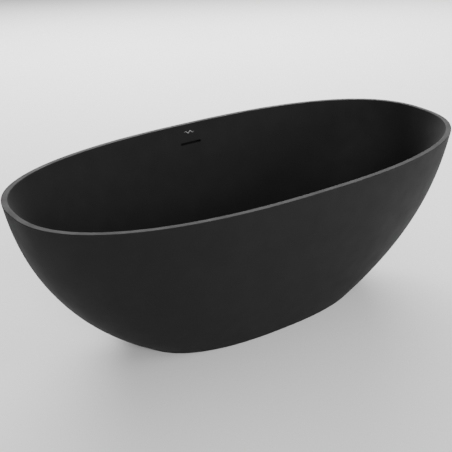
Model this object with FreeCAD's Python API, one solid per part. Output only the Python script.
"""A freestanding oval bathtub: two bonded shells on a steel frame with levelling feet, with a slot
overflow, a push-to-open waste and the hose between them. Millimetres, +Z up, +X along the tub,
origin at the centre of the footprint on the floor. The overflow is in the rear (+Y) long wall."""
import FreeCAD
import Part
import math
import os

V = FreeCAD.Vector
Y_AXIS, Z_AXIS = V(0, 1, 0), V(0, 0, 1)

# ---- overall size and outline of the tub
LENGTH = 1700.0
WIDTH = 805.0
HEIGHT = 586.0
OVAL_POWER = 2.42          # plan outline |x/a|^n + |y/b|^n = 1; 2 is an ellipse
BASE_LENGTH = 893.0        # footprint of the outer skin
BASE_WIDTH = 432.0
END_FLARE, END_POWER = 0.47, 4.63    # how the end walls curve out from footprint to rim
SIDE_FLARE, SIDE_POWER = 0.54, 2.67  # and the long walls
SKIRT_GAP = 3.0            # the skin's lower edge stays this far off the floor

# ---- shells
SKIN_WALL = 6.0
BASIN_WALL = 7.0
RIM_LAND = 19.0            # flat top of the rim, from outer edge to inner edge
RIM_DEPTH = 8.0            # thickness of the basin's rim flange
RIM_OUTER_ROUND = 2.0
RIM_INNER_ROUND = 2.5
BOND_THICKNESS = 0.8       # adhesive between rim flange and skin
FLOOR_HEIGHT = 150.0       # basin floor above the ground
FLOOR_LENGTH = 720.0       # flat part of the basin floor
FLOOR_WIDTH = 240.0
BASIN_END_FLARE = 0.5
BASIN_SIDE_FLARE = 0.3

# ---- waste, a G1 1/2 push-to-open plug
TAIL_RADIUS = 23.9         # G1 1/2 thread, outside
TAIL_WALL = 2.4
TAIL_LENGTH = 42.0
HOLE_CLEARANCE = 2.1       # round the tail, in basin, board and gaskets
THREAD_CLEARANCE = 0.1
FLANGE_OVERLAP = 9.0       # of the flange plate past the waste hole
FLANGE_PLATE = 3.0
SEAT_DEPTH = 4.0           # dish in the basin floor for the flange
SEAT_CLEARANCE = 2.0
UPPER_GASKET = 1.5
LOWER_GASKET = 3.5
GASKET_FIT = 1.1           # between the tail and the gaskets
BODY_FLANGE_OVERLAP = 16.0 # of the body's flange past the waste hole
BODY_FLANGE = 5.0
BODY_WALL = 3.5
CHAMBER_MARGIN = 3.6       # of the chamber's bore past the tail
OUTLET_WALL = 3.4
OUTLET_LENGTH = 30.0
BOSS_MARGIN = 8.0          # of the basin's thick pad past the body's flange
BOSS_THICKNESS = 12.0
SPIDER_RISE = 4.0          # of the spider above the tail's lower end
SPIDER_THICKNESS = 6.0
SPIDER_ARMS = 3
SPIDER_ARM = 5.0
SPIDER_BOSS = 9.0
CARTRIDGE_THREAD = 4.0
CARTRIDGE_RADIUS = 7.5
CARTRIDGE_LENGTH = 24.0
CARTRIDGE_BORE = 5.6
CARTRIDGE_CAP = 2.5
STEM_RADIUS = 2.5
STEM_COLLAR = 5.2
STEM_COLLAR_HEIGHT = 3.0
STEM_COVER = 3.0           # from the stem's top to the cap's underside
COLLAR_SPARE = 1.0         # above the collar when the plug is up, below the stem when it is down
SLIDE_CLEARANCE = 0.25
SPRING_RADIUS = 4.2
SPRING_WIRE = 0.7
SPRING_COILS = 6
SPRING_LINK = 0.5          # thickness of the links between the spring's rings
CAP_INSET = 2.0            # of the plug's cap inside the flange plate
CAP_THICKNESS = 5.0
CAP_ROUND = 2.0
CAP_CROWN = 1.6
CAP_HUB_RADIUS = 11.0
CAP_HUB_CLEARANCE = 1.5    # between the closed cap's hub and the cartridge
CAP_REST_GAP = 0.6         # under the closed cap
PLUG_TRAVEL = 9.0
SEAL_MARGIN = 2.5          # between the drain's bore and the plug's flat seal
SEAL_WIDTH = 4.0
SEAL_GROOVE = 1.6          # depth of its groove in the cap
SEAL_LIFT = 0.05           # between the closed seal and the flange

# ---- overflow
SLOT_LENGTH = 88.0
SLOT_HEIGHT = 8.0
SLOT_BELOW_RIM = 68.0
DUCT_WIDTH = 124.0
DUCT_SEAL = 0.8            # sealant between duct and basin
DUCT_DEPTH = 8.0
DUCT_WALL = 2.0
DUCT_ABOVE_SLOT = 17.0
DUCT_BOTTOM = 264.0
SUMP_HEIGHT = 36.0
SUMP_WIDTH = 48.0
SUMP_CLEARANCE = 4.0       # between the sump and the skin
DUCT_FLANGE = 10.0
HOSE_BORE = 13.0
HOSE_WALL = 2.2
SPIGOT_WALL = 2.0
SPIGOT_LENGTH = 26.0
BARB_COUNT = 3
BARB_HEIGHT = 0.5          # the barbs' tips just touch the hose's bore
BARB_LENGTH = 3.0
BARB_PITCH = 5.0
HOSE_GAP = 3.0             # between the hose's ends and what they push up to
HOSE_CLEARANCE = 4.0       # under the rail and off the skin
HOSE_KNEE = 45.0           # how far in from the skin the hose begins to rise
HOSE_BEND_SHARE = 0.45     # of the shorter run that a bend takes up at each end
CLAMP_INSET = 7.0          # from the hose's end to the clamp's edge
CLAMP_WIDTH = 9.0
CLAMP_BAND = 0.9
CLAMP_HOUSING = (14.0, 7.0, 8.0)     # along the screw, along the hose, and outwards
CLAMP_SCREW_COVER = 1.0
CLAMP_SCREW_END = 1.5
CLAMP_HEAD = 3.0

# ---- frame and feet
BOARD_LENGTH = 780.0
BOARD_WIDTH = 300.0
BOARD_THICKNESS = 15.0
BOARD_HOLE_CLEARANCE = 6.0
BOARD_CORNER = 40.0
RAIL = 30.0
RAIL_WALL = 2.0
RAIL_LENGTH = 760.0
RAIL_SPREAD = 220.0        # between the two rails' centre lines
CROSS_PLACES = (-300.0, -110.0, 110.0, 300.0)
FOOT_SPREAD = 600.0
STUD_RADIUS = 6.0
NECK_RADIUS = 4.5
STUD_CLEARANCE = 0.1
STUD_HOLE_CLEARANCE = 0.6
STUD_TOP_SPARE = 1.0       # above the stud inside the rail when the foot is drawn in
FOOT_LIFT = 3.0            # travel up and down from where the foot is set
FOOT_DROP = 12.0
HEX_FLATS = 14.0
HEX_HEIGHT = 8.0
HEX_ABOVE_PAD = 5.0
NUT_FLATS = 19.0
NUT_HEIGHT = 8.0
INSERT_FLATS = 22.0
INSERT_SPARE = 0.5         # of the stud's thread past the insert at full drop
PAD_RADIUS = 25.0
PAD_HEIGHT = 13.0
PAD_TREAD = 4.0
PAD_SHOULDER = 20.0
PAD_TOP_RADIUS = 12.5
PAD_ROUND = 1.0
BALL_RADIUS = 6.5
BALL_CLEARANCE = 0.3
BALL_SINK = 2.0            # how far the ball's foot reaches into the tread
FRAME_SCREW_PLACES = (160.0, 350.0)
SCREW_CLEARANCE = 0.3
RAIL_PLUG_DEPTH = 16.0
RAIL_PLUG_LIP = 2.0
STRAP_PLACES = 200.0
STRAP_CLEARANCE = 6.0
STRAP_WIDTH = 30.0
STRAP_THICKNESS = 3.0
BLOCK_LENGTH = 70.0
BLOCK_HEIGHT = 34.0
BLOCK_DEPTH = 26.0
SCREW_RADIUS = 2.5
SCREW_HEAD_RADIUS = 5.0
SCREW_HEAD = 2.6
SCREW_BITE = 10.0
SCREW_PAST_WALL = 4.0
SCREW_DRIVE = (6.0, 1.2, 1.3)        # length, width and depth of the slot in its head

# ---- radii and heights that follow from the sizes above
TAIL_BORE = TAIL_RADIUS - TAIL_WALL
WASTE_HOLE_RADIUS = TAIL_RADIUS + HOLE_CLEARANCE
FLANGE_RADIUS = WASTE_HOLE_RADIUS + FLANGE_OVERLAP
BODY_FLANGE_RADIUS = WASTE_HOLE_RADIUS + BODY_FLANGE_OVERLAP
BOSS_RADIUS = BODY_FLANGE_RADIUS + BOSS_MARGIN
BOARD_HOLE_RADIUS = BOSS_RADIUS + BOARD_HOLE_CLEARANCE
NECK_BORE = TAIL_RADIUS + THREAD_CLEARANCE
CHAMBER_BORE = TAIL_RADIUS + CHAMBER_MARGIN
CHAMBER_RADIUS = CHAMBER_BORE + BODY_WALL
CAP_RADIUS = FLANGE_RADIUS - CAP_INSET
SEAL_INNER = TAIL_BORE + SEAL_MARGIN
HOSE_RADIUS = HOSE_BORE + HOSE_WALL
SPIGOT_RADIUS = HOSE_BORE - BARB_HEIGHT
SPIGOT_BORE = SPIGOT_RADIUS - SPIGOT_WALL
HOSE_INSET = SKIN_WALL + HOSE_CLEARANCE + HOSE_RADIUS   # of the hose's middle inside the skin's face
HOSE_UPRIGHT = DUCT_BOTTOM - SPIGOT_LENGTH - HOSE_BORE  # above this height the hose runs straight up
BOARD_TOP = FLOOR_HEIGHT - BASIN_WALL
BOARD_BOTTOM = BOARD_TOP - BOARD_THICKNESS
RAIL_BOTTOM = BOARD_BOTTOM - RAIL
BOSS_BOTTOM = FLOOR_HEIGHT - BOSS_THICKNESS
SEAT = FLOOR_HEIGHT - SEAT_DEPTH
PLATE_BOTTOM = SEAT + UPPER_GASKET
PLATE_TOP = PLATE_BOTTOM + FLANGE_PLATE
TAIL_BOTTOM = PLATE_BOTTOM - TAIL_LENGTH
SPIDER_TOP = TAIL_BOTTOM + SPIDER_RISE + SPIDER_THICKNESS
BODY_TOP = BOSS_BOTTOM - LOWER_GASKET
CHAMBER_TOP = TAIL_BOTTOM - THREAD_CLEARANCE
INLET_HEIGHT = RAIL_BOTTOM - HOSE_CLEARANCE - HOSE_RADIUS
CHAMBER_BOTTOM = INLET_HEIGHT - SPIGOT_RADIUS - BODY_WALL
OUTLET_BOTTOM = CHAMBER_BOTTOM - OUTLET_LENGTH
CAP_BOTTOM = PLATE_TOP + CAP_REST_GAP
CARTRIDGE_TOP = SPIDER_TOP + CARTRIDGE_LENGTH
CARTRIDGE_FLOOR = SPIDER_TOP + CARTRIDGE_CAP
STEM_TOP = CAP_BOTTOM - STEM_COVER
COLLAR_TOP = CARTRIDGE_TOP - CARTRIDGE_CAP - PLUG_TRAVEL - COLLAR_SPARE
COLLAR_BOTTOM = COLLAR_TOP - STEM_COLLAR_HEIGHT
SLOT_CENTRE = HEIGHT - SLOT_BELOW_RIM
DUCT_TOP = SLOT_CENTRE + DUCT_ABOVE_SLOT
SKIN_TOP = HEIGHT - RIM_DEPTH - BOND_THICKNESS
STUD_TOP = RAIL_BOTTOM + RAIL - RAIL_WALL - FOOT_LIFT - STUD_TOP_SPARE
INSERT_TOP = STUD_TOP - FOOT_DROP - INSERT_SPARE
HEX_BOTTOM = PAD_HEIGHT + HEX_ABOVE_PAD
FEET = {
    f"{end}_{side}": (sx * FOOT_SPREAD / 2, sy * RAIL_SPREAD / 2)
    for end, sx in (("left", -1), ("right", 1))
    for side, sy in (("front", -1), ("rear", 1))
}
BEYOND = 10.0              # how far a cutting tool runs past what it cuts
FAR = 2000.0               # larger than the tub, for cutting blocks


# ---------------------------------------------------------------- outlines and shells

def wall_rise(share, flare, power):
    """0 at the footprint to 1 at the rim, for the outer skin; a power curve that steepens upwards."""
    return (1 - (1 - flare * share) ** power) / (1 - (1 - flare) ** power)


def wall_slope(share, flare, power):
    """The rate of wall_rise with share."""
    return flare * power * (1 - flare * share) ** (power - 1) / (1 - (1 - flare) ** power)


def skin_half(z, inset=0.0):
    """Half length and half width of the outer skin at height z, a distance inset inside its surface."""
    share = z / HEIGHT
    halves = []
    for base, rim, flare, power in (
        (BASE_LENGTH / 2, LENGTH / 2, END_FLARE, END_POWER),
        (BASE_WIDTH / 2, WIDTH / 2, SIDE_FLARE, SIDE_POWER),
    ):
        half = base + (rim - base) * wall_rise(share, flare, power)
        lean = (rim - base) * wall_slope(share, flare, power) / HEIGHT
        halves.append(half - inset * math.hypot(1, lean))
    return halves


def bowl_half(z, grow=0.0):
    """Half length and half width of the basin at height z, a distance grow outside its inner face.
    Each profile is a quarter of a circle's arc, stretched: level at the floor, steep at the rim."""
    floor = FLOOR_HEIGHT - grow
    share = max(0.0, (z - floor) / (HEIGHT - floor))
    halves = []
    for flat, rim, flare in (
        (FLOOR_LENGTH / 2, LENGTH / 2 - RIM_LAND, BASIN_END_FLARE),
        (FLOOR_WIDTH / 2, WIDTH / 2 - RIM_LAND, BASIN_SIDE_FLARE),
    ):
        rise = math.sqrt(1 - (1 - flare * share) ** 2) / math.sqrt(1 - (1 - flare) ** 2)
        halves.append(flat + (rim + grow - flat) * rise)
    return halves


def oval_wire(half_length, half_width, z, count=48):
    """A closed superellipse at height z: x and y are the halves times cos and sin to the power 2/n."""
    points = []
    for i in range(count):
        angle = 2 * math.pi * i / count
        c, s = math.cos(angle), math.sin(angle)
        x = math.copysign(half_length * abs(c) ** (2 / OVAL_POWER), c)
        y = math.copysign(half_width * abs(s) ** (2 / OVAL_POWER), s)
        points.append(V(x, y, z))
    curve = Part.BSplineCurve()
    curve.interpolate(Points=points, PeriodicFlag=True)
    return Part.Wire([curve.toShape()])


def skin_solid(inset, sections=11):
    """The whole space inside the outer skin, from below the floor to above the rim."""
    low, high = -BEYOND, HEIGHT + BEYOND
    wires = []
    for i in range(sections):
        z = low + (high - low) * i / (sections - 1)
        wires.append(oval_wire(*skin_half(z, inset), z))
    return Part.makeLoft(wires, True, False)


def bowl_solid(grow, sections=12):
    """The whole space inside the basin, grown outwards, from its floor to above the rim.
    Sections crowd towards the floor, where the wall turns level."""
    low, high = FLOOR_HEIGHT - grow, HEIGHT + BEYOND
    wires = []
    for i in range(sections):
        z = low + (high - low) * (i / (sections - 1)) ** 2
        wires.append(oval_wire(*bowl_half(z, grow), z))
    return Part.makeLoft(wires, True, False)


def oval_y(x, halves):
    """The half width of an oval outline at distance x along the tub."""
    half_length, half_width = halves
    return half_width * (1 - (abs(x) / half_length) ** OVAL_POWER) ** (1 / OVAL_POWER)


# ---------------------------------------------------------------- small shape helpers

def block(x0, x1, y0, y1, z0, z1):
    """A box between two values on each axis, given in either order."""
    low = V(min(x0, x1), min(y0, y1), min(z0, z1))
    return Part.makeBox(abs(x1 - x0), abs(y1 - y0), abs(z1 - z0), low)


def slab(z0, z1):
    return block(-FAR, FAR, -FAR, FAR, z0, z1)


def disc(radius, z0, z1, x=0.0, y=0.0):
    return Part.makeCylinder(radius, z1 - z0, V(x, y, z0), Z_AXIS)


def ring(inner, outer, z0, z1, x=0.0, y=0.0):
    return disc(outer, z0, z1, x, y).cut(disc(inner, z0 - BEYOND, z1 + BEYOND, x, y))


def hexagon(flats, z0, z1, x, y):
    corner = flats / math.sqrt(3)
    points = [V(x + corner * math.cos(math.pi * i / 3), y + corner * math.sin(math.pi * i / 3), z0)
              for i in range(7)]
    return Part.Face(Part.makePolygon(points)).extrude(V(0, 0, z1 - z0))


def joined(*shapes):
    return shapes[0].multiFuse(list(shapes[1:])).removeSplitter()


def level_edges(shape, z):
    """The edges that lie wholly at height z."""
    return [e for e in shape.Edges if abs(e.BoundBox.ZMin - z) < 0.01 and abs(e.BoundBox.ZMax - z) < 0.01]


def export(name, *solids):
    shape = solids[0] if len(solids) == 1 else Part.makeCompound(list(solids))
    if not shape.isValid():
        raise ValueError(f"{name} is not a valid shape")
    shape.exportStep(f"parts/{name}.step")
    print(f"{name}: {len(shape.Solids)} solid(s), {shape.Volume / 1000:.1f} cm3")


# ---------------------------------------------------------------- shells

def slot_cutter():
    """The overflow slot: a bar with round ends that runs through the rear wall along Y."""
    half, radius = SLOT_LENGTH / 2 - SLOT_HEIGHT / 2, SLOT_HEIGHT / 2
    low, high = SLOT_CENTRE - radius, SLOT_CENTRE + radius
    back = bowl_half(HEIGHT, BASIN_WALL)[1] + BEYOND
    front = bowl_half(SLOT_CENTRE)[1] / 2
    bar = block(-half, half, front, back, low, high)
    ends = [Part.makeCylinder(radius, back - front, V(x, front, SLOT_CENTRE), Y_AXIS) for x in (-half, half)]
    return joined(bar, *ends)


def basin(outer, bowl):
    """The inner shell: the bowl, its flat rim, the waste boss and seat, and the overflow slot."""
    flange = outer.common(slab(HEIGHT - RIM_DEPTH, HEIGHT))
    outside = bowl_solid(BASIN_WALL).common(slab(0, HEIGHT))
    boss = disc(BOSS_RADIUS, BOSS_BOTTOM, FLOOR_HEIGHT)
    shell = joined(outside, flange, boss).cut(bowl)
    shell = shell.cut(disc(FLANGE_RADIUS + SEAT_CLEARANCE, SEAT, FLOOR_HEIGHT + BEYOND))
    shell = shell.cut(disc(WASTE_HOLE_RADIUS, BOSS_BOTTOM - BEYOND, FLOOR_HEIGHT + BEYOND))
    rim_edges = level_edges(shell, HEIGHT)
    rim_edges.sort(key=lambda e: e.BoundBox.XLength)
    shell = shell.makeFillet(RIM_INNER_ROUND, rim_edges[:1])
    rim_edges = level_edges(shell, HEIGHT)
    rim_edges.sort(key=lambda e: e.BoundBox.XLength)
    shell = shell.makeFillet(RIM_OUTER_ROUND, rim_edges[-1:])
    return shell.cut(slot_cutter())


def outer_skin(outer, inner):
    return outer.common(slab(SKIRT_GAP, SKIN_TOP)).cut(inner)


def rim_bond():
    """The adhesive ring between rim flange and skin. Its quarters are joined with their seams kept, so
    that each face of this long, thin ring is short enough for its volume to be worked out well."""
    low, high = SKIN_TOP, SKIN_TOP + BOND_THICKNESS
    outside = Part.makeLoft([oval_wire(*skin_half(z), z) for z in (low, high)], True, True)
    bore = [oval_wire(*skin_half(z, SKIN_WALL), z) for z in (low - BEYOND, high + BEYOND)]
    whole = outside.cut(Part.makeLoft(bore, True, True))
    quarters = [whole.common(block(0, sx * FAR, 0, sy * FAR, low, high)) for sx in (-1, 1) for sy in (-1, 1)]
    return quarters[0].multiFuse(quarters[1:]).Solids[0]


# ---------------------------------------------------------------- overflow

def between(low_grow, high_grow):
    """The layer of space behind the basin, from low_grow to high_grow outside its inner face."""
    return bowl_solid(high_grow).cut(bowl_solid(low_grow))


def overflow_duct():
    """A flat tray bonded to the basin's back round the slot, open towards the basin, with a deeper
    sump and a hose spigot at its lower end. Returns the tray, its seal and the spigot's centre y."""
    seal_top = BASIN_WALL + DUCT_SEAL
    back = seal_top + DUCT_DEPTH
    half = DUCT_WIDTH / 2
    inner_half = half - DUCT_WALL
    window_half = half + DUCT_FLANGE
    low, high = DUCT_BOTTOM + DUCT_WALL, DUCT_TOP - DUCT_WALL
    window = block(-window_half, window_half, 0, FAR, DUCT_BOTTOM - DUCT_FLANGE, DUCT_TOP + DUCT_FLANGE)
    middle = block(-half, half, 0, FAR, DUCT_BOTTOM, DUCT_TOP)
    hollow = block(-inner_half, inner_half, 0, FAR, low, high)

    seal = between(BASIN_WALL, seal_top).common(window.cut(hollow))
    flange = between(seal_top, seal_top + DUCT_WALL).common(window)
    tray = between(seal_top, back).common(middle)
    tray_hollow = between(BASIN_WALL, back - DUCT_WALL).common(hollow)

    half = SUMP_WIDTH / 2
    inner_half = half - DUCT_WALL
    sump_top = DUCT_BOTTOM + SUMP_HEIGHT
    sump_inset = SKIN_WALL + SUMP_CLEARANCE
    room = skin_solid(sump_inset).cut(bowl_solid(seal_top))
    sump = room.common(block(-half, half, 0, FAR, DUCT_BOTTOM, sump_top))
    room = skin_solid(sump_inset + DUCT_WALL).cut(bowl_solid(BASIN_WALL))
    sump_hollow = room.common(block(-inner_half, inner_half, 0, FAR, low, sump_top - DUCT_WALL))

    y = skin_half(HOSE_UPRIGHT, HOSE_INSET)[1]
    spigot_low = DUCT_BOTTOM - SPIGOT_LENGTH
    spigot = hose_spigot(SPIGOT_LENGTH + DUCT_WALL / 2)
    spigot.translate(V(0, y, spigot_low))
    bore = disc(SPIGOT_BORE, spigot_low - BEYOND, low + BEYOND, 0, y)
    duct = joined(flange, tray, sump, spigot).cut(joined(tray_hollow, sump_hollow)).cut(bore)
    return duct, seal, y


def hose_spigot(length):
    """A solid spigot that stands on the origin, with barbs that widen away from its lower end."""
    pieces = [disc(SPIGOT_RADIUS, 0, length)]
    for i in range(BARB_COUNT):
        start = V(0, 0, BARB_PITCH * i)
        pieces.append(Part.makeCone(SPIGOT_RADIUS, SPIGOT_RADIUS + BARB_HEIGHT, BARB_LENGTH, start, Z_AXIS))
    return joined(*pieces)


def rounded_path(points):
    """Straight runs joined by tangent arcs. Each arc's radius is as large as its shorter run allows."""
    edges, start = [], points[0]
    for i in range(1, len(points) - 1):
        before, after = points[i] - points[i - 1], points[i + 1] - points[i]
        turn = before.getAngle(after)
        cut = HOSE_BEND_SHARE * min(before.Length, after.Length)
        before.normalize()
        after.normalize()
        radius = cut / math.tan(turn / 2)
        print(f"hose bend {i}: radius {radius:.0f}, turn {math.degrees(turn):.0f}")
        enter, leave = points[i] - before * cut, points[i] + after * cut
        inward = (after - before).normalize()
        centre = points[i] + inward * (radius / math.cos(turn / 2))
        middle = centre - inward * radius
        edges.append(Part.LineSegment(start, enter).toShape())
        edges.append(Part.Arc(enter, middle, leave).toShape())
        start = leave
    edges.append(Part.LineSegment(start, points[-1]).toShape())
    return Part.Wire(edges)


def hose_points(spigot_y):
    """The hose's corners: out of the waste along +Y, up between the shells, and into the sump."""
    start = V(0, CHAMBER_RADIUS + HOSE_GAP, INLET_HEIGHT)
    knee = V(0, skin_half(INLET_HEIGHT, SKIN_WALL)[1] - HOSE_KNEE, INLET_HEIGHT)
    top = V(0, spigot_y, DUCT_BOTTOM - HOSE_GAP)
    middle_z = (INLET_HEIGHT + HOSE_UPRIGHT) / 2
    middle_y = skin_half(middle_z, HOSE_INSET)[1]
    return [start, knee, V(0, middle_y, middle_z), V(0, spigot_y, HOSE_UPRIGHT), top]


def overflow_hose(points):
    path = rounded_path(points)
    tubes = []
    for radius in (HOSE_RADIUS, HOSE_BORE):
        circle = Part.Wire([Part.makeCircle(radius, points[0], Y_AXIS)])
        tubes.append(path.makePipeShell([circle], True, True))
    hose = tubes[0].cut(tubes[1])
    section = math.pi * (HOSE_RADIUS ** 2 - HOSE_BORE ** 2)
    print(f"hose: length {path.Length:.0f}, volume {hose.Volume:.0f}, "
          f"section times length {section * path.Length:.0f}")
    return hose


def hose_clamp():
    """A worm-drive clamp about the Z axis at the origin: the band with its housing, and the screw."""
    length, width, height = CLAMP_HOUSING
    seat = HOSE_RADIUS + CLAMP_BAND / 2
    screw_x = seat + height - SCREW_RADIUS - CLAMP_SCREW_COVER
    reach = length / 2 + CLAMP_SCREW_END
    shank = Part.makeCylinder(SCREW_RADIUS, 2 * reach, V(screw_x, -reach, 0), Y_AXIS)
    head = Part.makeCylinder(SCREW_RADIUS + CLAMP_SCREW_COVER, CLAMP_HEAD, V(screw_x, reach, 0), Y_AXIS)
    slot_length, slot_width, slot_depth = SCREW_DRIVE
    slot_end = reach + CLAMP_HEAD
    slot = block(screw_x - slot_width / 2, screw_x + slot_width / 2, slot_end - slot_depth, slot_end + BEYOND,
                 -slot_length, slot_length)
    band = ring(HOSE_RADIUS, HOSE_RADIUS + CLAMP_BAND, -CLAMP_WIDTH / 2, CLAMP_WIDTH / 2)
    housing = block(seat, seat + height, -length / 2, length / 2, -width / 2, width / 2)
    housing = housing.cut(disc(seat, -BEYOND, BEYOND))
    return joined(band, housing).cut(shank), joined(shank, head).cut(slot)


def placed(shape, base, axis_from, axis_to):
    """A copy turned from one axis to another and moved to base."""
    copy = shape.copy()
    copy.Placement = FreeCAD.Placement(base, FreeCAD.Rotation(axis_from, axis_to))
    return copy


# ---------------------------------------------------------------- waste and plug

def waste_flange():
    """Flange plate with a rounded edge, its threaded tail, and the spider that carries the cartridge."""
    plate = disc(FLANGE_RADIUS, PLATE_BOTTOM, PLATE_TOP)
    plate = plate.makeFillet(FLANGE_PLATE / 2, level_edges(plate, PLATE_TOP))
    tail = disc(TAIL_RADIUS, TAIL_BOTTOM, PLATE_BOTTOM)
    shell = joined(plate, tail).cut(disc(TAIL_BORE, TAIL_BOTTOM - BEYOND, PLATE_TOP + BEYOND))
    low, high = SPIDER_TOP - SPIDER_THICKNESS, SPIDER_TOP
    spider = [disc(SPIDER_BOSS, low, high)]
    for i in range(SPIDER_ARMS):
        arm = block(0, TAIL_BORE + TAIL_WALL / 2, -SPIDER_ARM / 2, SPIDER_ARM / 2, low, high)
        arm.rotate(V(0, 0, 0), Z_AXIS, 30 + 360 / SPIDER_ARMS * i)
        spider.append(arm)
    return joined(shell, *spider).cut(disc(CARTRIDGE_THREAD, low - BEYOND, high + BEYOND))


def waste_body():
    """The moulded body under the basin: clamping flange, threaded neck, chamber with the overflow
    inlet towards +Y, and the outlet tail."""
    spigot = hose_spigot(SPIGOT_LENGTH + BODY_WALL)
    body = joined(
        disc(BODY_FLANGE_RADIUS, BODY_TOP - BODY_FLANGE, BODY_TOP),
        disc(NECK_BORE + BODY_WALL, CHAMBER_TOP, BODY_TOP - BODY_FLANGE),
        disc(CHAMBER_RADIUS, CHAMBER_BOTTOM, CHAMBER_TOP),
        disc(TAIL_RADIUS, OUTLET_BOTTOM, CHAMBER_BOTTOM),
        placed(spigot, V(0, CHAMBER_RADIUS + SPIGOT_LENGTH, INLET_HEIGHT), Z_AXIS, -Y_AXIS),
    )
    body = body.cut(disc(NECK_BORE, CHAMBER_TOP - BEYOND, BODY_TOP + BEYOND))
    body = body.cut(disc(CHAMBER_BORE, CHAMBER_BOTTOM + BODY_WALL, CHAMBER_TOP - BODY_WALL))
    body = body.cut(disc(TAIL_RADIUS - OUTLET_WALL, OUTLET_BOTTOM - BEYOND, CHAMBER_BOTTOM + BEYOND))
    reach = CHAMBER_RADIUS + SPIGOT_LENGTH + BEYOND
    return body.cut(Part.makeCylinder(SPIGOT_BORE, reach, V(0, 0, INLET_HEIGHT), Y_AXIS))


def click_cartridge():
    """The sleeve that guides the plug's stem, screwed into the spider."""
    body = joined(disc(CARTRIDGE_RADIUS, SPIDER_TOP, CARTRIDGE_TOP),
                  disc(CARTRIDGE_THREAD, SPIDER_TOP - SPIDER_THICKNESS, SPIDER_TOP))
    body = body.cut(disc(CARTRIDGE_BORE, CARTRIDGE_FLOOR, CARTRIDGE_TOP - CARTRIDGE_CAP))
    return body.cut(disc(STEM_RADIUS + SLIDE_CLEARANCE, CARTRIDGE_FLOOR, CARTRIDGE_TOP + BEYOND))


def plug_stem():
    """The stem, and the collar that the spring lifts and the cartridge's cap stops."""
    return joined(disc(STEM_RADIUS, CARTRIDGE_FLOOR + COLLAR_SPARE, STEM_TOP),
                  disc(STEM_COLLAR, COLLAR_BOTTOM, COLLAR_TOP))


def click_spring():
    """The spring under the stem's collar: flat-wire rings joined by short links on alternate sides."""
    half = SPRING_WIRE / 2
    first = CARTRIDGE_FLOOR + half
    pitch = (COLLAR_BOTTOM - half - first) / (SPRING_COILS - 1)
    pieces = []
    for i in range(SPRING_COILS):
        z = first + pitch * i
        pieces.append(ring(SPRING_RADIUS - half, SPRING_RADIUS + half, z - half, z + half))
        if i:
            pieces.append(disc(SPRING_LINK / 2, z - pitch, z, SPRING_RADIUS * (-1) ** i))
    return joined(*pieces)


def plug_cap():
    """A crowned disc with a groove for its seal and a hub that takes the stem."""
    top = CAP_BOTTOM + CAP_THICKNESS
    plate = disc(CAP_RADIUS, CAP_BOTTOM, top)
    plate = plate.makeFillet(CAP_ROUND, level_edges(plate, top))
    edge = CAP_RADIUS - CAP_ROUND
    ball_radius = (edge ** 2 + CAP_CROWN ** 2) / (2 * CAP_CROWN)
    ball = Part.makeSphere(ball_radius, V(0, 0, top + CAP_CROWN - ball_radius))
    crown = ball.common(disc(edge, top - CAP_CROWN, top + CAP_CROWN))
    hub_bottom = CARTRIDGE_TOP + CAP_HUB_CLEARANCE
    body = joined(plate, crown, disc(CAP_HUB_RADIUS, hub_bottom, CAP_BOTTOM + SEAL_GROOVE))
    low, high = CAP_BOTTOM - SEAL_GROOVE, CAP_BOTTOM + SEAL_GROOVE
    body = body.cut(ring(SEAL_INNER, SEAL_INNER + SEAL_WIDTH, low, high))
    return body.cut(disc(STEM_RADIUS, hub_bottom - BEYOND, STEM_TOP))


# ---------------------------------------------------------------- frame, board and feet

def frame_screw_places():
    """Where screws go up through the rails into the board."""
    places = []
    for x in FRAME_SCREW_PLACES:
        for sx in (-1, 1):
            for sy in (-1, 1):
                places.append((sx * x, sy * RAIL_SPREAD / 2))
    return places


def base_board():
    """The stiffening board bonded under the basin's floor, open round the waste."""
    half_length, half_width = BOARD_LENGTH / 2, BOARD_WIDTH / 2
    board = block(-half_length, half_length, -half_width, half_width, BOARD_BOTTOM, BOARD_TOP)
    uprights = [e for e in board.Edges if e.BoundBox.ZLength > BOARD_THICKNESS / 2]
    board = board.makeFillet(BOARD_CORNER, uprights)
    board = board.cut(disc(BOARD_HOLE_RADIUS, BOARD_BOTTOM - BEYOND, BOARD_TOP + BEYOND))
    for x, y in frame_screw_places():
        board = board.cut(disc(SCREW_RADIUS, BOARD_BOTTOM - BEYOND, BOARD_BOTTOM + SCREW_BITE, x, y))
    return board


def box_section(half_x, half_y, x, y):
    """A square tube centred on x, y at the frame's height, open at the ends of its longer side."""
    low, high, wall = RAIL_BOTTOM, RAIL_BOTTOM + RAIL, RAIL_WALL
    inner_x = half_x - wall if half_x < half_y else half_x + BEYOND
    inner_y = half_y - wall if half_y < half_x else half_y + BEYOND
    outside = block(x - half_x, x + half_x, y - half_y, y + half_y, low, high)
    return outside.cut(block(x - inner_x, x + inner_x, y - inner_y, y + inner_y, low + wall, high - wall))


def frame_rail(side):
    """A long rail, side -1 in front and 1 behind, drilled for its feet, its screws and its straps."""
    y = side * RAIL_SPREAD / 2
    rail = box_section(RAIL_LENGTH / 2, RAIL / 2, 0, y)
    below, inside = RAIL_BOTTOM - BEYOND, RAIL_BOTTOM + RAIL / 2
    for sx in (-1, 1):
        rail = rail.cut(disc(STUD_RADIUS + STUD_HOLE_CLEARANCE, below, inside, sx * FOOT_SPREAD / 2, y))
        rail = rail.cut(disc(SCREW_RADIUS, below, inside, sx * STRAP_PLACES, y))
    for x, screw_y in frame_screw_places():
        if screw_y * side > 0:
            rail = rail.cut(disc(SCREW_RADIUS + SCREW_CLEARANCE, below, BOARD_BOTTOM + BEYOND, x, y))
    return rail


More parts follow.
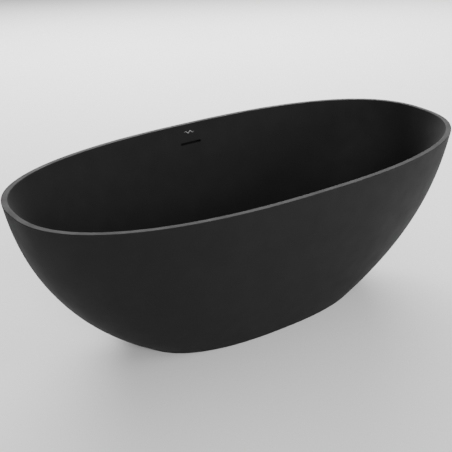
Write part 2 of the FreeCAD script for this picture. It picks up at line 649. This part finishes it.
def rail_plugs():
    """Plastic plugs in the four open ends of the rails."""
    plugs = []
    half, inner_half = RAIL / 2, RAIL / 2 - RAIL_WALL
    mid = RAIL_BOTTOM + half
    for sx in (-1, 1):
        for sy in (-1, 1):
            x, y = sx * RAIL_LENGTH / 2, sy * RAIL_SPREAD / 2
            inner_x, outer_x = x - sx * RAIL_PLUG_DEPTH, x + sx * RAIL_PLUG_LIP
            core = block(inner_x, x, y - inner_half, y + inner_half, mid - inner_half, mid + inner_half)
            lip = block(x, outer_x, y - half, y + half, mid - half, mid + half)
            plugs.append(joined(core, lip))
    return plugs


def upward_screw(x, y, low, top):
    """A pan-head screw that points up, with the top of its head at height low and its tip at top."""
    length, width, depth = SCREW_DRIVE
    head = disc(SCREW_HEAD_RADIUS, low - SCREW_HEAD, low, x, y)
    head = head.makeFillet(SCREW_HEAD / 2, level_edges(head, low - SCREW_HEAD))
    slot = block(x - length / 2, x + length / 2, y - width / 2, y + width / 2,
                 low - SCREW_HEAD - BEYOND, low - SCREW_HEAD + depth)
    return joined(head.cut(slot), disc(SCREW_RADIUS, low, top, x, y))


def levelling_foot(x, y):
    """The tread pad with its ball socket, and the stud with its ball, wrench hexagon and rod."""
    ball_z = PAD_TREAD + BALL_RADIUS - BALL_SINK
    cone = Part.makeCone(PAD_SHOULDER, PAD_TOP_RADIUS, PAD_HEIGHT - PAD_TREAD, V(x, y, PAD_TREAD), Z_AXIS)
    pad = joined(disc(PAD_RADIUS, 0, PAD_TREAD, x, y), cone)
    pad = pad.makeFillet(PAD_ROUND, level_edges(pad, 0))
    pad = pad.cut(Part.makeSphere(BALL_RADIUS + BALL_CLEARANCE, V(x, y, ball_z)))
    pad = pad.cut(disc(NECK_RADIUS + BALL_CLEARANCE, ball_z, PAD_HEIGHT + BEYOND, x, y))
    stud = joined(Part.makeSphere(BALL_RADIUS, V(x, y, ball_z)),
                  disc(NECK_RADIUS, ball_z, HEX_BOTTOM, x, y),
                  hexagon(HEX_FLATS, HEX_BOTTOM, HEX_BOTTOM + HEX_HEIGHT, x, y),
                  disc(STUD_RADIUS, HEX_BOTTOM + HEX_HEIGHT, STUD_TOP, x, y))
    return pad, stud


def drilled_nut(flats, low, high, x, y):
    return hexagon(flats, low, high, x, y).cut(disc(STUD_RADIUS + STUD_CLEARANCE, low - 1, high + 1, x, y))


def skirt_fixing(sx, sy, inner):
    """A timber block bonded inside the skin, the steel strap that ties it to the rail, and their screws."""
    x, half = sx * STRAP_PLACES, BLOCK_LENGTH / 2
    far_corner = STRAP_PLACES + half
    skin_y = oval_y(far_corner, skin_half(RAIL_BOTTOM, SKIN_WALL))
    near, far = skin_y - BLOCK_DEPTH, WIDTH / 2
    timber = block(x - half, x + half, sy * near, sy * far, RAIL_BOTTOM, RAIL_BOTTOM + BLOCK_HEIGHT)
    timber = timber.common(inner)

    low = RAIL_BOTTOM - STRAP_THICKNESS
    half = STRAP_WIDTH / 2
    rail_y = RAIL_SPREAD / 2
    strap_end = oval_y(STRAP_PLACES + half, skin_half(low, SKIN_WALL)) - STRAP_CLEARANCE
    strap = block(x - half, x + half, sy * (rail_y - RAIL / 2), sy * strap_end, low, RAIL_BOTTOM)
    screws = []
    for y, top in ((rail_y, RAIL_BOTTOM + RAIL_WALL + SCREW_PAST_WALL),
                   (near + BLOCK_DEPTH / 2, RAIL_BOTTOM + SCREW_BITE)):
        hole = disc(SCREW_RADIUS, low - BEYOND, top, x, sy * y)
        strap, timber = strap.cut(hole), timber.cut(hole)
        screws.append(upward_screw(x, sy * y, low, top))
    return timber, strap, screws


# ---------------------------------------------------------------- the assembly

def build_shells():
    outer, inner, bowl = skin_solid(0.0), skin_solid(SKIN_WALL), bowl_solid(0.0)
    export("basin", basin(outer, bowl))
    export("outer_skin", outer_skin(outer, inner))
    export("rim_bond", rim_bond())
    return inner


def build_overflow():
    duct, seal, spigot_y = overflow_duct()
    export("overflow_duct", duct)
    export("duct_seal", seal)
    points = hose_points(spigot_y)
    export("overflow_hose", overflow_hose(points))
    strap, screw = hose_clamp()
    offset = CLAMP_INSET + CLAMP_WIDTH / 2
    for name, base, axis in (("lower", points[0] + Y_AXIS * offset, Y_AXIS),
                             ("upper", points[-1] - Z_AXIS * offset, Z_AXIS)):
        export(f"hose_clamp_{name}", placed(strap, base, Z_AXIS, axis))
        export(f"clamp_screw_{name}", placed(screw, base, Z_AXIS, axis))


def build_waste():
    gasket_bore = TAIL_RADIUS + GASKET_FIT
    seal_outer = SEAL_INNER + SEAL_WIDTH
    export("waste_flange", waste_flange())
    export("upper_gasket", ring(gasket_bore, FLANGE_RADIUS, SEAT, PLATE_BOTTOM))
    export("lower_gasket", ring(gasket_bore, BODY_FLANGE_RADIUS - SEAT_CLEARANCE, BODY_TOP, BOSS_BOTTOM))
    export("waste_body", waste_body())
    export("click_cartridge", click_cartridge())
    export("click_spring", click_spring())
    export("plug_stem", plug_stem())
    export("plug_cap", plug_cap())
    export("plug_seal", ring(SEAL_INNER, seal_outer, PLATE_TOP + SEAL_LIFT, CAP_BOTTOM + SEAL_GROOVE))


def build_frame(inner):
    export("base_board", base_board())
    export("frame_rail_front", frame_rail(-1))
    export("frame_rail_rear", frame_rail(1))
    cross_half = RAIL_SPREAD / 2 - RAIL / 2
    for i, x in enumerate(CROSS_PLACES, 1):
        export(f"frame_cross_{i}", box_section(RAIL / 2, cross_half, x, 0))
    export("rail_end_plugs", *rail_plugs())
    export("frame_screws", *[upward_screw(x, y, RAIL_BOTTOM, BOARD_BOTTOM + SCREW_BITE)
                             for x, y in frame_screw_places()])
    strap_screws = []
    for end, sx in (("left", -1), ("right", 1)):
        for side, sy in (("front", -1), ("rear", 1)):
            timber, strap, screws = skirt_fixing(sx, sy, inner)
            export(f"skirt_block_{end}_{side}", timber)
            export(f"skirt_strap_{end}_{side}", strap)
            strap_screws += screws
    export("strap_screws", *strap_screws)


def build_feet():
    for name, (x, y) in FEET.items():
        pad, stud = levelling_foot(x, y)
        export(f"foot_pad_{name}", pad)
        export(f"foot_stud_{name}", stud)
    places = FEET.values()
    insert_low, nut_low = RAIL_BOTTOM + RAIL_WALL, RAIL_BOTTOM - NUT_HEIGHT
    export("foot_inserts", *[drilled_nut(INSERT_FLATS, insert_low, INSERT_TOP, x, y) for x, y in places])
    export("foot_lock_nuts", *[drilled_nut(NUT_FLATS, nut_low, RAIL_BOTTOM, x, y) for x, y in places])


if __name__ == "__main__":
    os.makedirs("parts", exist_ok=True)
    inside = build_shells()
    build_overflow()
    build_waste()
    build_frame(inside)
    build_feet()
